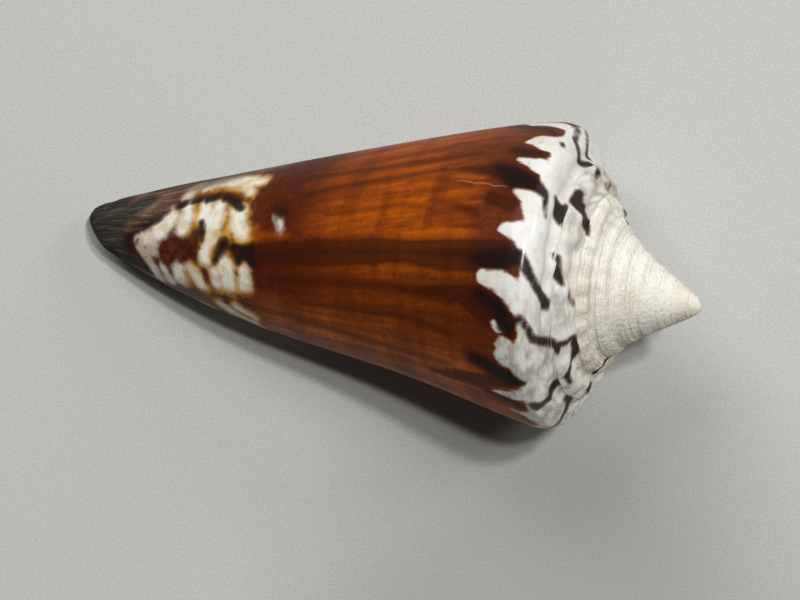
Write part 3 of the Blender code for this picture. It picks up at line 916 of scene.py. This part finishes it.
class Nodes:
    """A new material, with short words for adding and joining its nodes."""

    def __init__(self, name):
        self.material = bpy.data.materials.new(name)
        self.material.use_nodes = True
        self.tree = self.material.node_tree
        self.surface = self.tree.nodes["Principled BSDF"]
        self.place = self.add("ShaderNodeTexCoord").outputs["Object"]

    def add(self, kind, settings=None, **sockets):
        """A new node; settings are its own choices, and sockets are values or other nodes' outputs."""
        node = self.tree.nodes.new(kind)
        for name, value in (settings or {}).items():
            setattr(node, name, value)
        self.fill(node, **sockets)
        return node

    def fill(self, node, **sockets):
        """Sets or joins sockets by name, with a low line for each space."""
        for name, value in sockets.items():
            self.put(node.inputs[name.replace("_", " ")], value)

    def put(self, socket, value):
        """Sets a socket to a value, or joins it to an output."""
        if isinstance(value, bpy.types.NodeSocket):
            self.tree.links.new(value, socket)
        else:
            socket.default_value = value

    def of_two(self, kind, settings, a, b):
        """A new node with its first two sockets filled."""
        node = self.add(kind, settings)
        self.put(node.inputs[0], a)
        self.put(node.inputs[1], b)
        return node

    def field(self, name, output="Fac"):
        """A value stored on the skin."""
        return self.add("ShaderNodeAttribute", {"attribute_name": name}).outputs[output]

    def math(self, operation, a, b=0.0):
        """Arithmetic on two values."""
        return self.of_two("ShaderNodeMath", {"operation": operation}, a, b).outputs[0]

    def plus(self, total, *others):
        """The sum of several values."""
        for other in others:
            total = self.math("ADD", total, other)
        return total

    def times(self, product, *others):
        """The product of several values."""
        for other in others:
            product = self.math("MULTIPLY", product, other)
        return product

    def step(self, value, low, high, start, stop):
        """A smooth step from start, where value is low, to stop, where it is high."""
        node = self.add("ShaderNodeMapRange", {"interpolation_type": "SMOOTHSTEP"})
        self.fill(node, Value=value, From_Min=low, From_Max=high, To_Min=start, To_Max=stop)
        return node.outputs[0]

    def rise(self, value, low, high, top=1.0):
        """A smooth step up from 0 to top."""
        return self.step(value, low, high, 0.0, top)

    def fall(self, value, low, high, top=1.0):
        """A smooth step down from top to 0."""
        return self.step(value, low, high, top, 0.0)

    def zone(self, value, begin, full, fading, stop, top=1.0):
        """A smooth step up, and further on a smooth step down again."""
        return self.times(self.rise(value, begin, full), self.fall(value, fading, stop, top))

    def spread(self, noise, reach):
        """Noise made to swing evenly about zero by half of reach each way."""
        return self.times(self.math("SUBTRACT", noise, 0.5), reach)

    def blend(self, share, a, b, how="MIX"):
        """A mix of two colours."""
        node = self.add("ShaderNodeMix", {"data_type": "RGBA", "blend_type": how})
        self.put(node.inputs[0], share)
        self.put(node.inputs[6], a)
        self.put(node.inputs[7], b)
        return node.outputs[2]

    def coated(self, colour, *coats):
        """Lays coats over a colour, one after the other; each is its share and its paint."""
        for share, paint in coats:
            colour = self.blend(share, colour, paint)
        return colour

    def noise(self, vector, scale, detail, rough):
        """Soft noise between 0 and 1, with so many waves to a unit of the vector."""
        node = self.add("ShaderNodeTexNoise", Vector=vector, Scale=scale, Detail=detail, Roughness=rough)
        return node.outputs[0]

    def cloud(self, waves, detail=3.0, rough=0.6):
        """Noise that is the same in all directions, with so many waves to a metre."""
        return self.noise(self.place, waves, detail, rough)

    def streaks(self, growth, path, detail=3.0, rough=0.6):
        """Noise in the shell's own terms: waves to a mm of growth, and to a mm of path down the side."""
        lay = self.field("lay", "Vector")
        waves = (growth, path, 0.0)
        scaled = self.of_two("ShaderNodeVectorMath", {"operation": "MULTIPLY"}, lay, waves)
        return self.noise(scaled.outputs[0], 1.0, detail, rough)

    def finish(self, **sockets):
        """Sets or joins the sockets of the surface, and gives back the material."""
        self.fill(self.surface, **sockets)
        return self.material


# %% Colours
ORANGE = linear(182, 84, 7)
BRIGHT_ORANGE = linear(206, 99, 3)
CHESTNUT = linear(124, 58, 26)
RED_BROWN = linear(92, 35, 12)
END_BROWN = linear(114, 80, 64)
END_DARK = linear(64, 48, 40)
END_PINK = linear(178, 152, 132)
END_BLACK = linear(36, 24, 20)
PATCH_BROWN = linear(98, 44, 20)
DARK_BROWN = linear(66, 26, 10)
BLACK_BROWN = linear(30, 21, 18)
LOW_BROWN_PAINTED_LIGHT = linear(212, 112, 38)
AMBER = linear(196, 112, 30)
PORCELAIN = linear(244, 242, 236)
PORCELAIN_SHADE = linear(230, 222, 207)
PORCELAIN_GREY = linear(208, 203, 196)
PORCELAIN_PAINTED_SHADE = linear(176, 168, 152)
CHALK = linear(253, 249, 238)
CHALK_STAIN = linear(216, 205, 178)
CHALK_DIRT_AND_SHADE = linear(166, 148, 106)
CREAM = linear(214, 198, 172)
PALE_SPOT = linear(250, 245, 228)
PALE_STAIN = linear(214, 190, 140)
OCHRE = linear(158, 90, 26)
YELLOW = linear(218, 164, 68)
SCAR = linear(200, 150, 100)
SLATE = linear(68, 64, 57)
SLATE_PALE = linear(112, 100, 86)
INNER_WHITE = linear(236, 230, 222)

# %% [markdown]
# The side of the shell is brightest in the middle and darker toward both ends. The animal's skin
# makes stripes along the growth lines, so most of the noise is stretched along them. The lower side
# is made a lighter orange, as painted light. Below, each coat of paint has a share, which a smooth
# step makes from a noise or from a place on the shell.

# %% Brown of the side
ORANGE_ZONE = (8.5, 12.0, 25.0, 32.0)
BRIGHT_ZONE = (12.0, 17.0, 20.0, 27.0)
RED_FROM = (18.0, 28.0)
END_FROM = (36.0, 42.0)
HIGH_TO = (12.0, 22.0)
LOW_TO = (33.0, 39.0)
HIGH_TO_WHORLS = (0.24, 0.29)
BELOW_FROM_WHORLS = (0.37, 0.42)
BELOW_TO_WHORLS = (0.45, 0.50)
LOW_FROM_WHORLS = (0.45, 0.53)
LOW_TO_WHORLS = (0.62, 0.74)


def side_brown(n):
    """Colour of the side: an orange zone between darker ends, with streaks along the growth lines and
    painted light on the lower side.
    """
    path = n.field("path")
    turned = n.field("whorl")
    broad = n.streaks(0.42, 0.05, 3.0, 0.55)
    fine = n.streaks(1.0, 0.10, 2.0, 0.5)
    bands = n.streaks(0.05, 0.34, 2.0, 0.5)
    cloud = n.cloud(160.0, 4.0)
    mottle = n.cloud(1700.0, 4.0, 0.72)
    reach = n.plus(path, n.spread(cloud, 5.0), n.spread(fine, 4.0))
    high = n.times(n.fall(turned, *HIGH_TO_WHORLS, 0.45), n.fall(path, *HIGH_TO))
    below = n.times(n.rise(turned, *BELOW_FROM_WHORLS), n.step(turned, *BELOW_TO_WHORLS, 0.75, 0.1))
    # painted light: a lighter orange on the lower side of the shell
    low = n.times(n.rise(turned, *LOW_FROM_WHORLS, 0.85), n.step(turned, *LOW_TO_WHORLS, 1.0, 0.1))
    low = n.times(low, n.fall(path, *LOW_TO))
    fray = n.plus(n.spread(fine, 1.2), n.spread(mottle, 1.0))
    thin = n.plus(n.field("thin"), fray)
    smoke = n.plus(n.field("smoke"), fray, n.spread(cloud, 1.6))
    near_black = n.plus(n.field("black"), fray)
    return n.coated(
        n.blend(n.rise(reach, *RED_FROM), CHESTNUT, RED_BROWN),
        (n.rise(reach, *END_FROM), END_BROWN),
        (n.zone(reach, *ORANGE_ZONE), ORANGE),
        (n.zone(reach, *BRIGHT_ZONE, 0.5), BRIGHT_ORANGE),
        (high, CHESTNUT),
        (below, RED_BROWN),
        (low, LOW_BROWN_PAINTED_LIGHT),
        (n.fall(broad, 0.40, 0.58, 0.50), RED_BROWN),
        (n.fall(fine, 0.36, 0.56, 0.36), DARK_BROWN),
        (n.fall(bands, 0.36, 0.52, 0.42), RED_BROWN),
        (n.fall(mottle, 0.32, 0.60, 0.30), DARK_BROWN),
        (n.rise(mottle, 0.52, 0.74, 0.13), AMBER),
        (n.rise(mottle, 0.75, 0.79, 0.5), SCAR),
        (n.rise(thin, -0.4, 0.4, 0.65), DARK_BROWN),
        (n.rise(smoke, -0.45, 0.15, 0.85), DARK_BROWN),
        (n.rise(smoke, 0.5, 1.5, 0.6), BLACK_BROWN),
        (n.rise(near_black, -1.4, 0.2, 0.8), DARK_BROWN),
    )


# %% [markdown]
# The shoulder is smooth like porcelain, with painted shade on its lower part. The old spire has lost
# its gloss to sand and sun, so it is chalky and stained, darker and grainy on its lower side, and
# has painted shade along its seams. The narrow end is worn down to a dark grey.

# %% White, chalk and the dark end
DARKER_LOW_SIDE = (-0.009, 0.001)
SEAM = (0.04, 0.30)
SEAM_WIDER_WHORLS = (2.5, 4.0)
SHADED_WHORLS = (0.36, 0.48)


def white_and_chalk(n, chalky):
    """Smooth porcelain with grey and cream clouds, turning into stained and grainy chalk on the spire;
    painted shade low down and along the seams.
    """
    turned = n.field("whorl")
    cloud = n.cloud(260.0, 4.0)
    grains = n.cloud(3400.0, 3.0, 0.75)
    smudge = n.streaks(0.5, 0.9)
    scratches = n.streaks(1.2, 0.5)
    rings = n.streaks(0.10, 2.6)
    porcelain = n.coated(
        PORCELAIN,
        (n.rise(cloud, 0.42, 0.64, 0.7), PORCELAIN_SHADE),
        (n.rise(smudge, 0.52, 0.74, 0.6), PORCELAIN_GREY),
    )
    across = n.add("ShaderNodeSeparateXYZ", Vector=n.place).outputs["Y"]
    low_side = n.plus(across, n.spread(cloud, 0.012))
    chalk = n.coated(
        CHALK,
        (n.rise(cloud, 0.42, 0.68, 0.6), CHALK_STAIN),
        (n.fall(scratches, 0.32, 0.48, 0.35), CHALK_STAIN),
        (n.fall(rings, 0.30, 0.44, 0.20), CHALK_DIRT_AND_SHADE),
        (n.fall(grains, 0.34, 0.52, 0.40), CHALK_STAIN),
        # the chalk is darker and grainy toward the lower side, on minus Y
        (n.times(n.fall(low_side, *DARKER_LOW_SIDE, 0.6), n.rise(grains, 0.40, 0.62)), CHALK_DIRT_AND_SHADE),
    )
    # painted shade: a thin dark line along each suture, on the ramp side of the crease
    seam = n.plus(n.field("path"), n.spread(smudge, 0.5), n.rise(turned, *SEAM_WIDER_WHORLS, 0.3))
    # painted shade: the porcelain is darker and mottled on the lower part of the shell
    low = n.times(n.rise(turned, *SHADED_WHORLS), n.fall(chalky, 0.0, 0.4))
    return n.coated(
        n.blend(chalky, porcelain, chalk),
        (n.fall(seam, *SEAM, 0.34), CHALK_DIRT_AND_SHADE),
        (n.times(low, n.step(smudge, 0.36, 0.66, 0.15, 0.90)), PORCELAIN_PAINTED_SHADE),
    )


def slate_paint(n, scales):
    """Dark grey of the worn end with paler and almost black streaks."""
    pale = (n.rise(scales, 0.50, 0.68, 0.9), SLATE_PALE)
    return n.coated(SLATE, pale, (n.fall(scales, 0.36, 0.50, 0.8), BLACK_BROWN))


def layer_paint(n, scales):
    """Streaky pinkish brown of the last layer near the narrow end."""
    dark = (n.fall(scales, 0.36, 0.50, 0.9), END_DARK)
    return n.coated(END_BROWN, dark, (n.rise(scales, 0.52, 0.66, 0.8), END_PINK))


# %% [markdown]
# A mark is painted where its stored depth is above zero, in millimetres. Noise is added to that
# depth first, so the edge wanders, and the width of the smooth step makes it crisp or soft. A white
# mark near the narrow end also has a yellow halo, and a black one a brown halo.

# %% Marks over the brown
SCRATCH_SLANT = -0.0020
SCRATCH_WHORL = 0.3107
SCRATCH_ROUND = 96.0
SCRATCH_ZONE = (7.2, 8.6, 12.6, 14.4)
NEAR_END = (30.0, 36.0)
OCHRE_FROM = (35.5, 37.5)
HALO_ZONE = (35.5, 37.0, 44.5, 48.0)
EDGE_SHAKES = {"pale": 2.0, "cream": 1.6, "ochre": 2.6, "patch": 1.6}


def ragged_edge(n):
    """A small shift in mm that makes the edges of the marks uneven: fine noise plus coarse noise."""
    return n.plus(n.spread(n.cloud(1500.0), 0.26), n.spread(n.cloud(520.0, 2.0, 0.5), 0.65))


def scratch(n, path, shake):
    """Share of a fine scratch: nearness in mm to a slightly slanting line down the side, with soft ends."""
    line = n.plus(n.times(path, SCRATCH_SLANT), SCRATCH_WHORL)
    gap = n.times(n.math("SUBTRACT", n.field("whorl"), line), SCRATCH_ROUND)
    gap = n.math("ABSOLUTE", n.plus(gap, n.times(shake, 1.2)))
    return n.times(n.fall(gap, 0.03, 0.13, 0.42), n.zone(path, *SCRATCH_ZONE))


def marked(n, colour, white_paint):
    """The marks over the brown, from the ground up: amber rims, ochre, cream, patch, white and black."""
    path = n.field("path")
    shake = ragged_edge(n)
    at = {name: n.plus(n.field(name), n.times(shake, share)) for name, share in EDGE_SHAKES.items()}
    white = n.plus(n.field("white"), shake, n.spread(n.streaks(0.85, 0.16, 2.0, 0.5), 1.1))
    black = n.plus(n.field("black"), n.times(shake, n.step(path, *NEAR_END, 0.9, 1.9)))
    warm_rim = n.times(n.rise(white, -0.35, 0.0), n.rise(n.cloud(300.0, 2.0, 0.5), 0.45, 0.60, 0.45))
    spotted = n.blend(n.rise(n.cloud(900.0), 0.34, 0.54), OCHRE, YELLOW)
    ochre_paint = n.blend(n.rise(path, *OCHRE_FROM), ORANGE, spotted)
    cream_paint = n.blend(n.rise(n.cloud(1100.0), 0.55, 0.66, 0.8), CREAM, END_BROWN)
    patch_paint = n.blend(n.rise(n.cloud(1000.0), 0.42, 0.60), DARK_BROWN, PATCH_BROWN)
    pale_paint = n.blend(n.fall(n.cloud(700.0), 0.38, 0.60, 0.6), PALE_SPOT, PALE_STAIN)
    colour = n.coated(
        colour,
        (warm_rim, AMBER),
        (n.times(n.rise(at["ochre"], -0.6, 0.7), n.step(path, *OCHRE_FROM, 0.6, 0.9)), ochre_paint),
        (n.times(n.rise(at["pale"], -1.1, -0.2), n.zone(path, *HALO_ZONE, 0.8)), ochre_paint),
        (n.rise(at["cream"], -0.35, 0.4, 0.85), cream_paint),
        (n.rise(at["patch"], -0.45, 0.3, 0.92), patch_paint),
        (n.rise(at["pale"], -0.66, 0.38), pale_paint),
        (scratch(n, path, shake), SCAR),
        (n.rise(white, -0.22, 0.17), white_paint),
    )
    near_end = n.rise(path, *NEAR_END)
    brown_halo = n.blend(near_end, CHESTNUT, END_DARK)
    colour = n.blend(n.rise(black, -0.30, 0.0, 0.5), colour, brown_halo, "DARKEN")
    soft = n.step(n.field("white"), -0.9, 0.0, 0.55, 0.20)
    soft = n.math("MINIMUM", soft, n.step(path, *NEAR_END, 0.55, 0.32))
    share = n.rise(black, n.times(soft, -1.0), soft, 0.95)
    return n.blend(share, colour, n.blend(near_end, BLACK_BROWN, END_BLACK))


# %% [markdown]
# Now the parts come together. The older the whorl, the chalkier it is. The gloss is a thin clear
# coat, strongest on the shoulder, and the relief is a bump with its height in millimetres.

# %% The shell's finish
CHALKY_WHORLS = (1.0, 2.3)
GLOSS_ZONE = (1.6, 3.0, 6.0, 10.0)
GLOSS_TO_WHORLS = (0.90, 1.05)


def gloss(n, dull):
    """Share of clear coat: little on the brown, most on the white of the shoulder, none where it is dull."""
    shoulder = n.times(
        n.zone(n.field("path"), *GLOSS_ZONE),
        n.fall(n.field("whorl"), *GLOSS_TO_WHORLS),
        n.step(n.field("white"), -0.3, 0.3, 0.25, 1.0),
    )
    return n.times(n.fall(dull, 0.0, 0.5, 0.45), n.step(shoulder, 0.0, 1.0, 0.06, 1.0))


def relief(n, chalky, scales, slate_share):
    """Bump from grains, cords and threads, high on the chalk, and from the streaks of the worn end."""
    height = n.plus(
        n.times(n.cloud(2200.0, 3.0, 0.65), 0.16),
        n.times(n.streaks(0.08, 3.0, 2.0, 0.5), 0.22),
        n.times(n.streaks(1.3, 0.35), 0.12),
    )
    height = n.times(height, n.step(chalky, 0.0, 1.0, 0.06, 1.0))
    height = n.plus(height, n.times(scales, 0.5, slate_share))
    return n.add("ShaderNodeBump", Height=height, Distance=MM, Strength=1.0).outputs[0]


def shell_finish():
    """Glossy brown and white shell with a chalky spire, a worn dark end and a white inside."""
    n = Nodes("cone_shell")
    age = n.plus(n.field("whorl"), n.spread(n.cloud(260.0, 4.0), 1.2))
    chalky = n.rise(age, *CHALKY_WHORLS)
    scales = n.streaks(0.7, 0.22, 4.0, 0.7)
    slate_share = n.rise(n.plus(n.field("slate"), n.spread(scales, 2.0)), -1.1, 0.5)
    layer = n.plus(n.field("layer"), n.spread(scales, 1.2))
    dull = n.math("MAXIMUM", chalky, slate_share)
    colour = n.coated(
        marked(n, side_brown(n), white_and_chalk(n, chalky)),
        (n.rise(layer, -0.8, 0.9, 0.8), layer_paint(n, scales)),
        (slate_share, slate_paint(n, scales)),
        (n.field("inside"), INNER_WHITE),
    )
    return n.finish(
        Base_Color=colour,
        Roughness=n.step(dull, 0.0, 1.0, 0.48, 0.88),
        Specular_IOR_Level=0.08,
        Coat_Weight=gloss(n, dull),
        Coat_Roughness=0.20,
        Normal=relief(n, chalky, scales, slate_share),
    )


finish = shell_finish()
shell.data.materials.append(finish)
print("nodes in the shell's finish", len(finish.node_tree.nodes))

# %% [markdown]
# ## Floor, light and camera
# The shell lies on a pale, faintly grained card. It is a large square, so that its edge is far
# outside the view. A soft painted shadow darkens the card near the shell's near side.

# %% Floor
FLOOR_HALF = 0.6
FLOOR_CORNERS = ((-1, -1), (1, -1), (1, 1), (-1, 1))
CARD_LIGHT = linear(208, 209, 204)
CARD_DARK = linear(194, 194, 189)
CARD_PAINTED_SHADOW = linear(222, 222, 220)
CARD_GRAIN = 4200.0
PAINTED_SHADOW_PLACE = (0.022, -0.040, 0.0)
PAINTED_SHADOW_REACH = (0.012, 0.040)


def card_finish():
    """Pale card with a fine grain and a soft painted shadow close to the shell on its near side."""
    n = Nodes("pale_card")
    grain = n.cloud(CARD_GRAIN, 2.0, 0.6)
    colour = n.blend(n.rise(grain, 0.3, 0.7), CARD_DARK, CARD_LIGHT)
    # painted shadow: the card darkens round a point near the shell's near side
    apart = n.of_two("ShaderNodeVectorMath", {"operation": "DISTANCE"}, n.place, PAINTED_SHADOW_PLACE)
    share = n.fall(apart.outputs["Value"], *PAINTED_SHADOW_REACH)
    return n.finish(Base_Color=n.blend(share, colour, CARD_PAINTED_SHADOW, "MULTIPLY"), Roughness=0.9)


def make_floor():
    """A square of card that faces up."""
    mesh = bpy.data.meshes.new("floor")
    mesh.from_pydata([(x * FLOOR_HALF, y * FLOOR_HALF, 0) for x, y in FLOOR_CORNERS], [], [(0, 1, 2, 3)])
    mesh.materials.append(card_finish())
    return placed("floor", mesh)


make_floor()

# %% [markdown]
# Two small lamps and a wide one light the shell from above, and a low one from the tip's side. The
# small ones give the shadow a dark core and paler steps, and the wide one softens it.

# %% Light
LAMPS = {
    "near": ((0.180, 0.096, 0.60), 0.033, 0.98),
    "side": ((0.210, 0.173, 0.60), 0.040, 1.38),
    "wide": ((-0.20, 0.33, 0.45), 0.30, 1.30),
    "window": ((0.60, 0.36, 0.45), 0.20, 1.00),
}
SKY_COLOUR = (0.92, 0.96, 1.0, 1.0)
SKY_STRENGTH = 0.035


def area_light(name, place, size, watts):
    """A square lamp at place that faces the middle of the floor."""
    data = bpy.data.lights.new(name, "AREA")
    data.size = size
    data.energy = watts
    lamp = placed(name, data)
    lamp.location = place
    lamp.rotation_euler = (-Vector(place)).to_track_quat("-Z", "Y").to_euler()


for name, lamp in LAMPS.items():
    area_light(name, *lamp)
world = bpy.data.worlds.new("studio")
world.use_nodes = True
sky = world.node_tree.nodes["Background"].inputs
sky["Color"].default_value = SKY_COLOUR
sky["Strength"].default_value = SKY_STRENGTH
bpy.context.scene.world = world
bpy.context.scene.view_settings.view_transform = "Standard"
print("lamps", len(LAMPS))

# %% [markdown]
# The camera looks down on the shell from a quarter of a metre, a little from the tip's side. A long
# lens keeps the shell's proportions, as a photographer would choose for a small thing on a table.

# %% Camera
CAMERA_PLACE = (33.954, -6.4032, 250.0)
LOOK_ALONG = math.radians(-7.4619)
LOOK_ACROSS = math.radians(0.4382)
CAMERA_ROLL = math.radians(7.4163)
LENS = 103.87
CLIP_START = 0.01


def make_camera():
    """A camera that looks down, turned by its two tilts and then rolled about its line of sight."""
    ahead = unit(np.array([math.tan(LOOK_ALONG), math.tan(LOOK_ACROSS), -1.0]))
    right = unit(np.array([1.0, 0.0, 0.0]) - ahead[0] * ahead)
    up, right = rotated(np.cross(right, ahead), right, CAMERA_ROLL)
    camera = placed("camera", bpy.data.cameras.new("camera"))
    camera.data.lens = LENS
    camera.data.clip_start = CLIP_START
    turn = Matrix((right, up, -ahead)).transposed().to_4x4()
    camera.matrix_world = Matrix.Translation(Vector(CAMERA_PLACE) * MM) @ turn
    return camera


bpy.context.scene.camera = make_camera()
